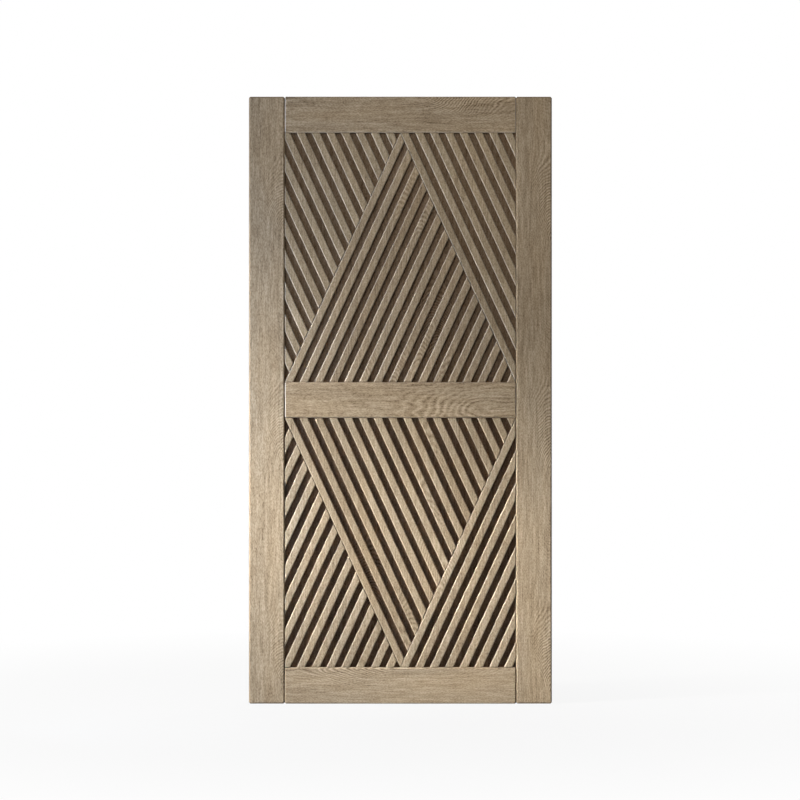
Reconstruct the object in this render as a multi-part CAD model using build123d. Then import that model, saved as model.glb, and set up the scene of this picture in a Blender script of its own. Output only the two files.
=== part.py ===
from build123d import *
import math
import os

# Sliding barn door slab. A frame of stiles and rails holds two back panels in grooves, and each face of
# each panel carries slats laid in three triangular fields around a large triangle.
# Millimetres. +X is to the right seen from the front, the front face looks towards -Y, +Z is up.
# The origin is the middle of the top edge, where the door hangs.

# Overall slab
DOOR_WIDTH = 1065.0
DOOR_HEIGHT = 2134.0
DOOR_THICKNESS = 35.0

# Frame members, with every edge eased
STILE_WIDTH = 126.0
TOP_RAIL_HEIGHT = 127.0
MID_RAIL_HEIGHT = 125.0
BOTTOM_RAIL_HEIGHT = 127.0
STILE_CHAMFER = 4.8
RAIL_CHAMFER = 3.8

# Groove and stub tenon joints inside the frame
GROOVE_DEPTH = 14.0
GROOVE_END_GAP = 1.5
TOP_SHOULDER = 25.0
JOINT_CLEARANCE = 0.2

# Back panels
PANEL_THICKNESS = 6.4
PANEL_CLEARANCE = 0.25

# Slats on both faces of the panels
SLAT_WIDTH = 26.2
SLAT_GAP = 21.05
SLAT_RECESS = 1.6
SLAT_CHAMFER = 2.6
SLAT_FIT_GAP = 0.3
SHORTEST_SLAT = 30.0

# Groove along the bottom edge for a floor guide
GUIDE_GROOVE_WIDTH = 8.0
GUIDE_GROOVE_DEPTH = 16.0
GUIDE_GROOVE_LAND = 9.0

# Sizes that follow from the values above
opening_width = DOOR_WIDTH - 2 * STILE_WIDTH
opening_height = (DOOR_HEIGHT - TOP_RAIL_HEIGHT - MID_RAIL_HEIGHT - BOTTOM_RAIL_HEIGHT) / 2
upper_opening_z = -TOP_RAIL_HEIGHT - opening_height / 2
mid_rail_z = -TOP_RAIL_HEIGHT - opening_height - MID_RAIL_HEIGHT / 2
lower_opening_z = mid_rail_z - MID_RAIL_HEIGHT / 2 - opening_height / 2
top_rail_z = -TOP_RAIL_HEIGHT / 2
bottom_rail_z = -DOOR_HEIGHT + BOTTOM_RAIL_HEIGHT / 2

groove_width = PANEL_THICKNESS + 2 * PANEL_CLEARANCE
groove_reach = GROOVE_DEPTH - GROOVE_END_GAP
tenon_thickness = groove_width - 2 * JOINT_CLEARANCE
tenon_top = -TOP_SHOULDER
tenon_bottom = -DOOR_HEIGHT + GUIDE_GROOVE_DEPTH + GUIDE_GROOVE_LAND

slat_thickness = (DOOR_THICKNESS - PANEL_THICKNESS) / 2 - SLAT_RECESS
slat_lean = math.atan2(opening_width / 2, opening_height)
slat_step = (SLAT_WIDTH + SLAT_GAP) / math.cos(slat_lean)
slat_run = opening_height / math.cos(slat_lean)
slat_overrun = SLAT_WIDTH + slat_thickness

# Plane on the front of a back panel, with X to the right, Y upwards and Z out of the door
panel_front = Plane(origin=(0, -PANEL_THICKNESS / 2, 0), x_dir=(1, 0, 0), z_dir=(0, -1, 0))


def eased_board(width, height, easing):
    """A board of the door's full thickness with a chamfer on every edge."""
    board = Box(width, DOOR_THICKNESS, height)
    return chamfer(board.edges(), easing)


def guide_groove():
    """The floor guide's groove, open at both ends of the bottom edge."""
    return Pos(0, 0, -DOOR_HEIGHT) * Box(2 * DOOR_WIDTH, GUIDE_GROOVE_WIDTH, 2 * GUIDE_GROOVE_DEPTH)


def stile(side):
    """An upright with a stopped groove in its inner edge, at the left (-1) or the right (+1)."""
    board = eased_board(STILE_WIDTH, DOOR_HEIGHT, STILE_CHAMFER)
    board = Pos(side * (opening_width + STILE_WIDTH) / 2, 0, -DOOR_HEIGHT / 2) * board
    groove_top = tenon_top + JOINT_CLEARANCE
    groove_bottom = tenon_bottom - JOINT_CLEARANCE
    groove = Box(2 * GROOVE_DEPTH, groove_width, groove_top - groove_bottom)
    inner_edge = Pos(side * opening_width / 2, 0, (groove_top + groove_bottom) / 2)
    return board - inner_edge * groove - guide_groove()


def rail(height, centre_z, tenon_low, tenon_high, grooved_edges):
    """A cross member with a stub tenon at each end and a groove along each edge that meets a panel."""
    board = Pos(0, 0, centre_z) * eased_board(opening_width, height, RAIL_CHAMFER)
    tenon = Box(opening_width + 2 * groove_reach, tenon_thickness, tenon_high - tenon_low)
    board += Pos(0, 0, (tenon_low + tenon_high) / 2) * tenon
    for edge_z in grooved_edges:
        board -= Pos(0, 0, edge_z) * Box(DOOR_WIDTH, groove_width, 2 * GROOVE_DEPTH)
    return board


def back_panel(centre_z):
    """A flat panel whose edges stand in the grooves of the frame."""
    return Pos(0, 0, centre_z) * Box(
        opening_width + 2 * groove_reach, PANEL_THICKNESS, opening_height + 2 * groove_reach
    )


def slat_bar(steps, lean):
    """A bar longer than the opening, leaning to the right (+1) or the left (-1) at its top.

    Its left edge crosses the top of the opening a number of steps to the right of the middle.
    """
    down = Vector(-lean * math.sin(slat_lean), 0, -math.cos(slat_lean))
    across = Vector(math.cos(slat_lean), 0, -lean * math.sin(slat_lean))
    top_point = Vector(steps * slat_step, -PANEL_THICKNESS / 2, opening_height / 2)
    section = Polygon(
        (0, 0),
        (SLAT_WIDTH, 0),
        (SLAT_WIDTH, slat_thickness - SLAT_CHAMFER),
        (SLAT_WIDTH - SLAT_CHAMFER, slat_thickness),
        (SLAT_CHAMFER, slat_thickness),
        (0, slat_thickness - SLAT_CHAMFER),
        align=None,
    )
    start = Plane(origin=top_point - down * slat_overrun, x_dir=across, z_dir=down)
    return extrude(start * section, slat_run + 2 * slat_overrun)


def field_block(corners):
    """The space of one triangular field, a fit gap smaller than its outline, with eased upper edges."""
    outline = offset(Polygon(*corners, align=None), -SLAT_FIT_GAP, kind=Kind.INTERSECTION)
    block = extrude(panel_front * outline, slat_thickness)
    return chamfer(block.faces().sort_by(Axis.Y)[0].edges(), SLAT_CHAMFER)


def trimmed_slats(block, lean, steps):
    """The slats of one field, cut off at its edges; offcuts too short to fix are left out."""
    slats = []
    for step in steps:
        for slat in (slat_bar(step, lean) & block).solids():
            if slat.bounding_box().size.Z >= SHORTEST_SLAT:
                slats.append(slat)
    return slats


def slat_pattern():
    """The named groups of slats of one opening, with the triangle's tip at the top."""
    left = -opening_width / 2
    right = opening_width / 2
    bottom = -opening_height / 2
    top = opening_height / 2
    left_field = field_block([(left, bottom), (0, top), (left, top)])
    centre_field = field_block([(left, bottom), (right, bottom), (0, top)])
    right_field = field_block([(0, top), (right, bottom), (right, top)])
    steps_across = math.ceil(opening_width / slat_step)
    return {
        "left_slats": trimmed_slats(left_field, -1, range(-steps_across, 0)),
        "left_diagonal": trimmed_slats(centre_field, 1, [0]),
        "triangle_slats": trimmed_slats(centre_field, 1, range(1, steps_across)),
        "right_diagonal": trimmed_slats(right_field, -1, [0]),
        "right_slats": trimmed_slats(right_field, -1, range(1, steps_across)),
    }


def frame_and_panels():
    """The named stiles, rails and back panels."""
    upper_edge = mid_rail_z + MID_RAIL_HEIGHT / 2
    lower_edge = mid_rail_z - MID_RAIL_HEIGHT / 2
    top_rail_edge = -TOP_RAIL_HEIGHT
    bottom_rail_edge = -DOOR_HEIGHT + BOTTOM_RAIL_HEIGHT
    return {
        "left_stile": stile(-1),
        "right_stile": stile(1),
        "top_rail": rail(
            TOP_RAIL_HEIGHT, top_rail_z, top_rail_edge + GROOVE_DEPTH, tenon_top, [top_rail_edge]
        ),
        "mid_rail": rail(
            MID_RAIL_HEIGHT, mid_rail_z, lower_edge + GROOVE_DEPTH, upper_edge - GROOVE_DEPTH,
            [upper_edge, lower_edge],
        ),
        "bottom_rail": rail(
            BOTTOM_RAIL_HEIGHT, bottom_rail_z, tenon_bottom, bottom_rail_edge - GROOVE_DEPTH,
            [bottom_rail_edge],
        ) - guide_groove(),
        "upper_back_panel": back_panel(upper_opening_z),
        "lower_back_panel": back_panel(lower_opening_z),
    }


def slat_groups():
    """The slats of both openings on both faces; the lower pattern is the upper one upside down."""
    tip_up = slat_pattern()
    tip_down = {name: [mirror(slat, Plane.XY) for slat in slats] for name, slats in tip_up.items()}
    levels = (("upper", tip_up, upper_opening_z), ("lower", tip_down, lower_opening_z))
    groups = {}
    for face, turn in (("front", 0), ("back", 180)):
        for level, pattern, centre_z in levels:
            place = Pos(0, 0, centre_z) * Rot(0, 0, turn)
            for name, slats in pattern.items():
                groups[f"{face}_{level}_{name}"] = Compound([place * slat for slat in slats])
    return groups


os.makedirs("parts", exist_ok=True)
for node, solid in {**frame_and_panels(), **slat_groups()}.items():
    export_step(solid, f"parts/{node}.step")
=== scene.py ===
import math
from collections import namedtuple

import bpy
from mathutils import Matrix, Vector


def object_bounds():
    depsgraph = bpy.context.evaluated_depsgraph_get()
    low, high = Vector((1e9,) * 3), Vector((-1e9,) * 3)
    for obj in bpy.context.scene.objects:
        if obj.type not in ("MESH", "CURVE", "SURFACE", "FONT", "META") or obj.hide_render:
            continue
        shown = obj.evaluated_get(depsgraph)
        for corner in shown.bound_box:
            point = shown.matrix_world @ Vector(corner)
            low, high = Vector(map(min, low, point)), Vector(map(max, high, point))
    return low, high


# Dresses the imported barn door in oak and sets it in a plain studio.
# Metres, in the door's own frame: +X to the right seen from the front, the front face towards -Y, +Z up,
# and the origin in the middle of the top edge.

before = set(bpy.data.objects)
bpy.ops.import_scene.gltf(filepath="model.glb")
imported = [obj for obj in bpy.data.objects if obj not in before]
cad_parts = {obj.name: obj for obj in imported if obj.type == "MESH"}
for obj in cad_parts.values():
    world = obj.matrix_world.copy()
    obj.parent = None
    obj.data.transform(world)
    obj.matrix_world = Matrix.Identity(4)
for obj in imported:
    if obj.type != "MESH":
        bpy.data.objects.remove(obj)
cad_box = [[float(v) for v in corner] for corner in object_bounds()]
door_low, door_high = (Vector(corner) for corner in cad_box)

# The slats' layout, which their tones follow, with the count moved on by a share of the pitch
SLAT_LEAN = math.radians(24.857)
SLAT_PITCH = 0.04725
SLAT_COUNT_SHIFT = 0.2 * SLAT_PITCH
UPPER_APEX_Z = -0.127
LOWER_APEX_Z = -2.007

# Oak tones, in linear colour
OAK_DARK = (0.141, 0.095, 0.055)
OAK_MAIN = (0.414, 0.315, 0.205)
OAK_PALE = (0.678, 0.556, 0.400)
# Pale edge colour: partly rubbed edges, partly painted highlight on the chamfers that catch the lamps
OAK_WEAR_AND_HIGHLIGHT = (0.740, 0.720, 0.695)
OAK_STOPS = ((0.0, OAK_DARK), (0.5, OAK_MAIN), (1.0, OAK_PALE))

# Tints by which a board's colour is multiplied
PLAIN_TINT = (1.0, 1.0, 1.0)
COOL_TINT = (0.955, 0.985, 1.035)
MID_RAIL_TINT = (0.965, 0.94, 0.90)
SIDE_FIELD_TINT = (0.96, 0.97, 0.965)
TRIANGLE_TINT = (0.925, 0.915, 0.89)
# The back panels, which show only at the floor of the gaps between slats, are darkened as painted shade, the
# lower one more than the upper
UPPER_PANEL_PAINTED_SHADE = (0.46, 0.425, 0.43)
LOWER_PANEL_PAINTED_SHADE = (0.365, 0.313, 0.318)

# Noise in the wood: cells a metre across the board and along the grain, the detail in them and the strength
# SWAY and FLUTTER bend the growth rings by metres, UNEVEN spaces them by rings and the others change the tone
Noise = namedtuple("Noise", "across along detail strength", defaults=(1.0,))
SWAY = Noise(4.0, 1.5, 1.0, 0.030)
FLUTTER = Noise(45.0, 16.0, 2.0, 0.009)
UNEVEN = Noise(24.0, 7.0, 2.0, 3.0)
SLOW_TONE = Noise(7.0, 1.6, 3.0, 0.25)
DARK_LINES = Noise(55.0, 2.2, 1.0, -0.10)
STREAKS = Noise(80.0, 5.0, 1.0, 0.25)
FIBRES = Noise(200.0, 16.0, 2.0, 0.75)
FLECKS = Noise(340.0, 150.0, 1.0, -0.40)
PORES = Noise(1500.0, 110.0, 0.0, -0.22)
COOL_PATCHES = Noise(11.0, 2.2, 2.0)
NOISE_MIDDLE = 0.5
NOISE_SWING = 0.15

# The tone, from dark at 0 to pale at 1, and how the layers act on it
MIDDLE_TONE = 0.61
SLAT_TONE_SPREAD = 0.14
DARK_LINE_WIDTH = 0.022
PORE_RANGE = (0.02, 0.16)
PORES_IN_RINGS = 0.05
BOARD_STEP = (0.37, 0.71, 1.93)

# Growth rings, which show as arches where the heart of the log rises or dips behind the face
# How far across a board their middle lies, how it waves along the board, its depth and the rings' width
WAVE_LENGTH = 0.79
WAVE_HEIGHT = 0.06
HEART_DEPTH = 0.075
RING_WIDTH = 0.0046
HEART_DEFAULTS = (WAVE_LENGTH, WAVE_HEIGHT, HEART_DEPTH, RING_WIDTH)
Heart = namedtuple("Heart", "across phase length height depth ring", defaults=HEART_DEFAULTS)
SLAT_HEART_SHIFT = 0.40
ARCH_RANGE = (-0.2, 0.6)
FAINTEST_ARCH = 0.25
NEAR_HEART = 0.3
FAR_FROM_HEART = 1.1
FAR_STRENGTH = 0.30
FAINTEST_RING = 0.4

# Edge paint by how squarely a surface faces along an axis: rubbing, plus painted highlight where the edge
# colour is pale and painted shade where it is dark. Sideways edges, which face the lamps from the left, get
# the most; level edges, whose lower chamfers lie in shade, get little
EASED_EDGE_RANGE = (0.95, 0.80)
SIDEWAYS_RANGE = (0.2, 0.5)
LEVEL_EDGE_SHARE = 0.15
LEAST_EDGE_PAINT_SHARE = 0.8
END_GRAIN_RANGE = (0.8, 0.95)
END_GRAIN_SHADE = 0.4

# Relief and gloss
FIBRE_RELIEF = 0.5
PORE_RELIEF = -0.6
RING_RELIEF = -0.15
BUMP_STRENGTH = 0.30
BUMP_DISTANCE = 0.0004
GLOSS_TONES = (0.2, 0.8)
ROUGHNESS = (0.70, 0.56)
SHINE = 0.10
PANEL_SHINE = 0.03

# Turns that bring a board's grain to Z
UPRIGHT_GRAIN = (0.0, 0.0, 0.0)
LEVEL_GRAIN = (0.0, math.pi / 2, 0.0)
TURNED_GRAIN = (0.0, -math.pi / 2, 0.0)

# A board: its grain, heart, seed and tint, the colour and share of the paint on its edges (rubbing with
# painted highlight where pale, painted shade where dark), its rings' strength and its shine
EDGE_PAINT_SHARE = 0.6
RING_STRENGTH = 0.32
BOARD_DEFAULTS = (PLAIN_TINT, OAK_WEAR_AND_HIGHLIGHT, EDGE_PAINT_SHARE, RING_STRENGTH, SHINE)
Board = namedtuple("Board", "turn heart seed tint edge worn rings shine", defaults=BOARD_DEFAULTS)
STILE_PHASE = 3.01
LEFT_STILE_HEART = Heart(across=-0.4065, phase=STILE_PHASE)
RIGHT_STILE_HEART = Heart(across=0.5325, phase=STILE_PHASE)
TOP_RAIL_HEART = Heart(across=0.0, phase=-1.69)
MID_RAIL_HEART = Heart(across=-1.098, phase=1.20, length=0.90, ring=0.012)
BOTTOM_RAIL_HEART = Heart(across=-1.992, phase=-1.46, height=0.03)
UPPER_PANEL_HEART = Heart(across=0.12, phase=0.0)
LOWER_PANEL_HEART = Heart(across=-0.1, phase=1.0)
BOARDS = {
    # Boards with OAK_DARK on their edges get painted shade on their chamfers; the others take the pale
    # colour, rubbing with painted highlight
    "left_stile": Board(UPRIGHT_GRAIN, LEFT_STILE_HEART, seed=1, edge=OAK_DARK, worn=0.4, rings=0.20),
    "right_stile": Board(UPRIGHT_GRAIN, RIGHT_STILE_HEART, seed=2, edge=OAK_DARK, worn=0.15),
    "top_rail": Board(TURNED_GRAIN, TOP_RAIL_HEART, seed=23),
    "mid_rail": Board(LEVEL_GRAIN, MID_RAIL_HEART, seed=4, tint=MID_RAIL_TINT, rings=0.22),
    "bottom_rail": Board(LEVEL_GRAIN, BOTTOM_RAIL_HEART, seed=5, edge=OAK_DARK, worn=0.3),
    "upper_back_panel": Board(
        UPRIGHT_GRAIN, UPPER_PANEL_HEART, seed=6, tint=UPPER_PANEL_PAINTED_SHADE, shine=PANEL_SHINE),
    "lower_back_panel": Board(
        UPRIGHT_GRAIN, LOWER_PANEL_HEART, seed=7, tint=LOWER_PANEL_PAINTED_SHADE, shine=PANEL_SHINE),
}

# Slats: on the front the upper side fields lean to the left and the triangle to the right, and the lower ones
# the other way. The back is the front turned round.
SLAT_HEART = Heart(across=0.0, phase=0.0, ring=0.008)
SLAT_RINGS = 0.22
FIRST_SLAT_SEED = 8
SLAT_SEED_STEP = 100
SlatCount = namedtuple("SlatCount", "lean apex_z seed")
Level = namedtuple("Level", "name upright apex_z worn")
Field = namedtuple("Field", "lean tint groups")
FACES = {"front": 1, "back": -1}
# Upper slats take more of the pale edge colour than the lower ones: painted highlight, as their chamfers
# catch more light from the left
LEVELS = (
    Level("upper", 1, UPPER_APEX_Z, worn=0.28),
    Level("lower", -1, LOWER_APEX_Z, worn=0.08),
)
FIELDS = (
    Field(-1, SIDE_FIELD_TINT, ("left_slats", "right_diagonal", "right_slats")),
    Field(1, TRIANGLE_TINT, ("left_diagonal", "triangle_slats")),
)

# Studio
FLOOR_SIZE = 60.0
WHITE = (1.0, 1.0, 1.0)
FLOOR_COLOUR = (0.32, 0.32, 0.32)
NEAR_GLOW = 0.90
GLOW_REACH = (0.5, 2.6)
AMBIENT = 0.04

# Lamps: place and target in metres, width and height, watts, and the angle of the beam in degrees
NEUTRAL = (1.0, 0.97, 0.92)
WARM = (1.0, 0.92, 0.80)
COOL = (0.55, 0.71, 1.0)
ALL_ROUND = 180.0
Lamp = namedtuple("Lamp", "name place target size power spread colour")
LAMPS = (
    Lamp("high_key", (-4.07, -1.6, 0.9), (-0.44, 0.0, -1.74), (0.4, 0.4), 13.5, 30.6, NEUTRAL),
    Lamp("low_key", (-4.22, -1.89, -0.20), (0.82, 0.0, -1.80), (0.4, 0.4), 3.5, 16.0, NEUTRAL),
    Lamp("left_fill", (-1.3, -0.8, -1.0), (0.0, 0.0, -0.9), (0.4, 2.0), 10.6, ALL_ROUND, COOL),
    Lamp("front_fill", (-1.2, -3.7, 1.0), (0.30, 0.0, -0.26), (1.6, 1.2), 4.3, 36.0, WARM),
    Lamp("edge_light", (-4.5, -0.55, -1.6), (0.0, 0.0, -0.45), (0.4, 0.8), 4.2, 30.0, WHITE),
    Lamp("back_key", (2.2, 3.0, -0.3), (0.0, 0.0, -1.1), (1.5, 1.5), 80.0, ALL_ROUND, NEUTRAL),
    Lamp("back_fill", (-2.2, 3.0, 0.4), (0.0, 0.0, -1.1), (1.5, 1.5), 40.0, ALL_ROUND, WARM),
)

# The camera, level with the middle of the door and square to it
SENSOR_WIDTH = 36.0
LENS = 100.0
VIEW_WIDTH = 2.8117
SIDE_STEP = -0.0014
RISE = 0.0005


class Shader:
    """One node tree, with a short call for each kind of node."""

    def __init__(self, tree):
        self.tree = tree
        self.tree.nodes.clear()

    def feed(self, socket, value):
        if isinstance(value, bpy.types.NodeSocket):
            self.tree.links.new(value, socket)
        elif socket.type == "RGBA":
            socket.default_value = (*value, 1.0)
        else:
            socket.default_value = value

    def add(self, kind, inputs, **settings):
        node = self.tree.nodes.new(kind)
        for key, value in settings.items():
            setattr(node, key, value)
        for key, value in inputs.items():
            self.feed(node.inputs[key], value)
        return node

    def math(self, operation, first, second=0.0):
        return self.add("ShaderNodeMath", {0: first, 1: second}, operation=operation).outputs[0]

    def times(self, first, second):
        return self.math("MULTIPLY", first, second)

    def total(self, *values):
        result = values[0]
        for value in values[1:]:
            result = self.math("ADD", result, value)
        return result

    def vector(self, operation, first, second):
        return self.add("ShaderNodeVectorMath", {0: first, 1: second}, operation=operation).outputs["Vector"]

    def length(self, vector):
        return self.add("ShaderNodeVectorMath", {0: vector}, operation="LENGTH").outputs["Value"]

    def parts(self, vector):
        return self.add("ShaderNodeSeparateXYZ", {"Vector": vector}).outputs

    def noise(self, place, kind):
        """Noise about 0, before its strength is applied."""
        scaled = self.vector("MULTIPLY", place, (kind.across, kind.across, kind.along))
        node = self.add("ShaderNodeTexNoise", {"Vector": scaled, "Scale": 1.0, "Detail": kind.detail})
        return self.math("SUBTRACT", node.outputs["Fac"], NOISE_MIDDLE)

    def random(self, number):
        """Random values from 0 to 1 that belong to a whole number."""
        return self.add("ShaderNodeTexWhiteNoise", {"W": number}, noise_dimensions="1D").outputs

    def span(self, value, start, end, first=0.0, last=1.0):
        """The value carried from one range to another and held at its ends."""
        inputs = {"Value": value, "From Min": start, "From Max": end, "To Min": first, "To Max": last}
        return self.add("ShaderNodeMapRange", inputs).outputs["Result"]

    def ramp(self, value, stops):
        node = self.add("ShaderNodeValToRGB", {"Fac": value})
        elements = node.color_ramp.elements
        while len(elements) < len(stops):
            elements.new(1.0)
        for element, (position, colour) in zip(elements, stops):
            element.position = position
            element.color = (*colour, 1.0)
        return node.outputs["Color"]

    def mix(self, factor, first, second, blend="MIX"):
        node = self.add("ShaderNodeMix", {}, data_type="RGBA", blend_type=blend)
        sockets = {socket.identifier: socket for socket in node.inputs}
        self.feed(sockets["Factor_Float"], factor)
        self.feed(sockets["A_Color"], first)
        self.feed(sockets["B_Color"], second)
        return next(socket for socket in node.outputs if socket.identifier == "Result_Color")


def new_material(name):
    """An empty material, and the shader that fills it."""
    material = bpy.data.materials.new(name)
    material.use_nodes = True
    return material, Shader(material.node_tree)


def slat_randoms(shader, place, slats):
    """Three random numbers about 0 for the slat that a point is in, counted from the triangle's tip."""
    x, _, z = shader.parts(place)
    drop = shader.math("SUBTRACT", z, slats.apex_z)
    across = shader.times(x, math.cos(SLAT_LEAN))
    slide = shader.times(drop, -slats.lean * math.sin(SLAT_LEAN))
    steps = shader.math("DIVIDE", shader.total(across, slide, SLAT_COUNT_SHIFT), SLAT_PITCH)
    number = shader.math("ADD", shader.math("FLOOR", steps), slats.seed)
    randoms = shader.parts(shader.random(number)["Color"])
    return [shader.math("SUBTRACT", part, NOISE_MIDDLE) for part in randoms]


def growth_rings(shader, across, depth, along, spot, heart):
    """Dark lines round a heart that rises and dips behind the face, clearest where they show as arches."""
    sway = shader.times(shader.noise(spot, SWAY), SWAY.strength)
    flutter = shader.times(shader.noise(spot, FLUTTER), FLUTTER.strength)
    side = shader.total(across, sway, flutter)
    angle = shader.total(shader.times(along, math.tau / heart.length), heart.phase)
    wave = shader.times(shader.math("SINE", angle), heart.height)
    behind = shader.total(wave, depth, heart.depth, sway)
    squares = [shader.times(part, part) for part in (side, behind)]
    reach = shader.math("SQRT", shader.total(*squares))
    uneven = shader.times(shader.noise(spot, UNEVEN), UNEVEN.strength)
    count = shader.math("ADD", shader.math("DIVIDE", reach, heart.ring), uneven)
    own = shader.random(shader.math("FLOOR", count))["Value"]
    line = shader.math("SINE", shader.times(count, math.tau))

    arches = shader.span(shader.math("COSINE", angle), *ARCH_RANGE, FAINTEST_ARCH, 1.0)
    near = NEAR_HEART * heart.depth
    far = FAR_FROM_HEART * heart.depth
    nearness = shader.span(shader.math("ABSOLUTE", side), near, far, 1.0, FAR_STRENGTH)
    varied = shader.span(own, 0.0, 1.0, FAINTEST_RING, 1.0)
    strength = shader.times(shader.times(arches, nearness), varied)
    return shader.times(line, strength)


Figure = namedtuple("Figure", "value tone fibre pore")


def wood_figure(shader, spot, ring, rings, tone_shift):
    """How pale the wood is, and the layers in it that wear and relief follow."""
    tone = shader.noise(spot, SLOW_TONE)
    middle = shader.math("ABSOLUTE", shader.noise(spot, DARK_LINES))
    line = shader.span(middle, 0.0, DARK_LINE_WIDTH, 1.0, 0.0)
    streak = shader.noise(spot, STREAKS)
    fibre = shader.noise(spot, FIBRES)
    fleck = shader.noise(spot, FLECKS)
    crowd = shader.total(shader.noise(spot, PORES), fleck, shader.times(ring, PORES_IN_RINGS))
    pore = shader.span(crowd, *PORE_RANGE)
    value = shader.total(
        MIDDLE_TONE,
        tone_shift,
        shader.times(tone, SLOW_TONE.strength),
        shader.times(line, DARK_LINES.strength),
        shader.times(streak, STREAKS.strength),
        shader.times(fibre, FIBRES.strength),
        shader.times(fleck, FLECKS.strength),
        shader.times(ring, -rings),
        shader.times(pore, PORES.strength),
    )
    return Figure(value, tone, fibre, pore)


def paint_edges_and_end_grain(shader, colour, normal, tone, board):
    """The colour with the edge colour on the eased edges, mostly on those that face sideways, as rubbing with
    painted highlight where it is pale and painted shade where it is dark, and darker end grain.
    """
    facing = [shader.math("ABSOLUTE", part) for part in shader.parts(normal)]
    square = shader.math("MAXIMUM", shader.math("MAXIMUM", facing[0], facing[1]), facing[2])
    patchy_edge_paint = shader.span(tone, -NOISE_SWING, NOISE_SWING, LEAST_EDGE_PAINT_SHARE * board.worn, board.worn)
    sideways = shader.span(facing[0], *SIDEWAYS_RANGE, LEVEL_EDGE_SHARE, 1.0)
    # Share of the edge colour: rubbing with painted highlight where that colour is pale, painted shade where
    # it is dark
    edge_paint = shader.times(shader.span(square, *EASED_EDGE_RANGE), shader.times(patchy_edge_paint, sideways))
    colour = shader.mix(edge_paint, colour, board.edge)
    along_grain = facing[2] if board.turn == UPRIGHT_GRAIN else facing[0]
    end = shader.span(along_grain, *END_GRAIN_RANGE, 0.0, END_GRAIN_SHADE)
    return shader.mix(end, colour, OAK_DARK)


def oak(name, board, slats=None):
    """Oak with its grain along Z, or along X where it is turned; a pale edge colour paints highlight and a
    dark one paints shade on its edges.
    """
    material, shader = new_material(name)
    source = shader.add("ShaderNodeTexCoord", {}).outputs
    place = source["Object"]
    turned = shader.add("ShaderNodeMapping", {"Vector": place, "Rotation": board.turn}).outputs["Vector"]
    spot = shader.vector("ADD", turned, [step * board.seed for step in BOARD_STEP])
    across, depth, along = shader.parts(turned)
    heart = board.heart
    across = shader.math("SUBTRACT", across, heart.across)
    tone_shift = 0.0
    if slats:
        shift, phase, paleness = slat_randoms(shader, place, slats)
        across = shader.math("ADD", across, shader.times(shift, SLAT_HEART_SHIFT))
        heart = heart._replace(phase=shader.times(phase, math.tau))
        tone_shift = shader.times(paleness, SLAT_TONE_SPREAD)
    ring = growth_rings(shader, across, depth, along, spot, heart)
    figure = wood_figure(shader, spot, ring, board.rings, tone_shift)

    colour = shader.ramp(figure.value, OAK_STOPS)
    cool = shader.span(shader.noise(spot, COOL_PATCHES), -NOISE_SWING, NOISE_SWING)
    colour = shader.mix(cool, colour, shader.mix(1.0, colour, COOL_TINT, "MULTIPLY"))
    colour = paint_edges_and_end_grain(shader, colour, source["Normal"], figure.tone, board)
    if board.tint != PLAIN_TINT:
        colour = shader.mix(1.0, colour, board.tint, "MULTIPLY")

    height = shader.total(
        shader.times(figure.fibre, FIBRE_RELIEF),
        shader.times(figure.pore, PORE_RELIEF),
        shader.times(ring, RING_RELIEF),
    )
    bump = shader.add("ShaderNodeBump", {
        "Strength": BUMP_STRENGTH,
        "Distance": BUMP_DISTANCE,
        "Height": height,
    })
    surface = shader.add("ShaderNodeBsdfPrincipled", {
        "Base Color": colour,
        "Roughness": shader.span(figure.value, *GLOSS_TONES, *ROUGHNESS),
        "Specular IOR Level": board.shine,
        "Normal": bump.outputs["Normal"],
    })
    shader.add("ShaderNodeOutputMaterial", {"Surface": surface.outputs["BSDF"]})
    return material


def dress(node, material):
    """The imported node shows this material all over."""
    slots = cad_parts[node].data.materials
    slots.clear()
    slots.append(material)


def dress_slats():
    """Each face's side fields and triangles, upper and lower, have their own oak."""
    seed = FIRST_SLAT_SEED
    for face, front in FACES.items():
        for level in LEVELS:
            for field in FIELDS:
                slats = SlatCount(front * level.upright * field.lean, level.apex_z, SLAT_SEED_STEP * seed)
                board = Board(UPRIGHT_GRAIN, SLAT_HEART, seed, field.tint, worn=level.worn, rings=SLAT_RINGS)
                material = oak(f"{face}_{level.name}_slat_oak_{seed}", board, slats)
                for group in field.groups:
                    dress(f"{face}_{level.name}_{group}", material)
                seed += 1


def background_rays(shader):
    """1 for the rays that should see the plain white background, 0 for those that carry its light."""
    rays = shader.add("ShaderNodeLightPath", {}).outputs
    seen = shader.math("MAXIMUM", rays["Is Camera Ray"], rays["Is Glossy Ray"])
    return shader.math("MAXIMUM", seen, rays["Is Transmission Ray"])


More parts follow.
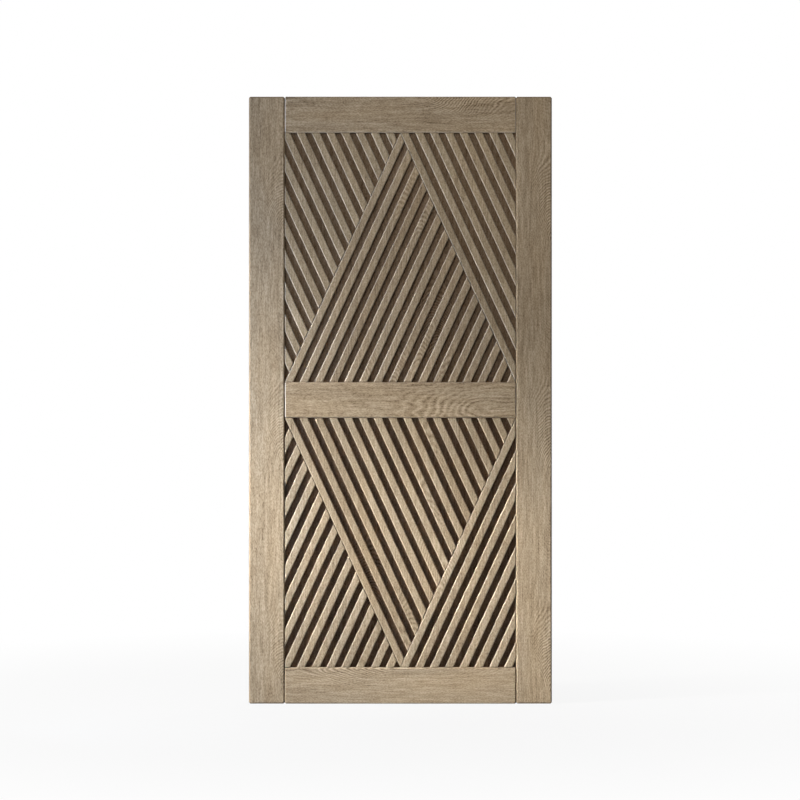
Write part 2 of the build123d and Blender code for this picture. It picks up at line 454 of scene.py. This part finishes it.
def studio_floor():
    """A floor under the door, which glows pale for the camera and still takes the door's shadow."""
    bpy.ops.mesh.primitive_plane_add(size=FLOOR_SIZE, location=(0.0, 0.0, door_low.z))
    floor = bpy.context.object
    floor.name = "studio_floor"
    material, shader = new_material("studio_floor_paint")
    paint = shader.add("ShaderNodeBsdfDiffuse", {"Color": FLOOR_COLOUR}).outputs["BSDF"]
    glow = shader.add("ShaderNodeEmission", {"Color": WHITE, "Strength": 1.0}).outputs["Emission"]
    away = shader.length(shader.add("ShaderNodeTexCoord", {}).outputs["Object"])
    share = shader.times(background_rays(shader), shader.span(away, *GLOW_REACH, NEAR_GLOW, 1.0))
    mixed = shader.add("ShaderNodeMixShader", {0: share, 1: paint, 2: glow}).outputs["Shader"]
    shader.add("ShaderNodeOutputMaterial", {"Surface": mixed})
    floor.data.materials.append(material)


def studio_world():
    """White where the camera or a reflection sees it, and a low even light for the rest."""
    world = bpy.data.worlds.new("studio_world")
    world.use_nodes = True
    bpy.context.scene.world = world
    shader = Shader(world.node_tree)
    strength = shader.span(background_rays(shader), 0.0, 1.0, AMBIENT, 1.0)
    background = shader.add("ShaderNodeBackground", {"Color": WHITE, "Strength": strength})
    shader.add("ShaderNodeOutputWorld", {"Surface": background.outputs["Background"]})


def studio_lamp(lamp):
    """A soft box, whose light narrows to the given spread and fades towards the edge of its beam."""
    light = bpy.data.lights.new(lamp.name, "AREA")
    light.shape = "RECTANGLE"
    light.size, light.size_y = lamp.size
    light.energy = lamp.power
    light.spread = math.radians(lamp.spread)
    light.color = lamp.colour
    holder = bpy.data.objects.new(lamp.name, light)
    holder.location = lamp.place
    aim = Vector(lamp.target) - Vector(lamp.place)
    holder.rotation_euler = aim.to_track_quat("-Z", "Y").to_euler()
    bpy.context.scene.collection.objects.link(holder)


def studio_camera():
    """The view that frames the door's front."""
    camera_data = bpy.data.cameras.new("camera")
    camera_data.sensor_width = SENSOR_WIDTH
    camera_data.lens = LENS
    camera = bpy.data.objects.new("camera", camera_data)
    centre = (door_low + door_high) / 2
    distance = VIEW_WIDTH * LENS / SENSOR_WIDTH
    camera.location = (centre.x + SIDE_STEP, door_low.y - distance, centre.z + RISE)
    camera.rotation_euler = (math.pi / 2, 0.0, 0.0)
    bpy.context.scene.collection.objects.link(camera)
    bpy.context.scene.camera = camera


for node, board in BOARDS.items():
    dress(node, oak(f"{node}_oak", board))
dress_slats()
studio_floor()
studio_world()
for lamp in LAMPS:
    studio_lamp(lamp)
studio_camera()

bpy.context.scene.view_settings.view_transform = "Standard"
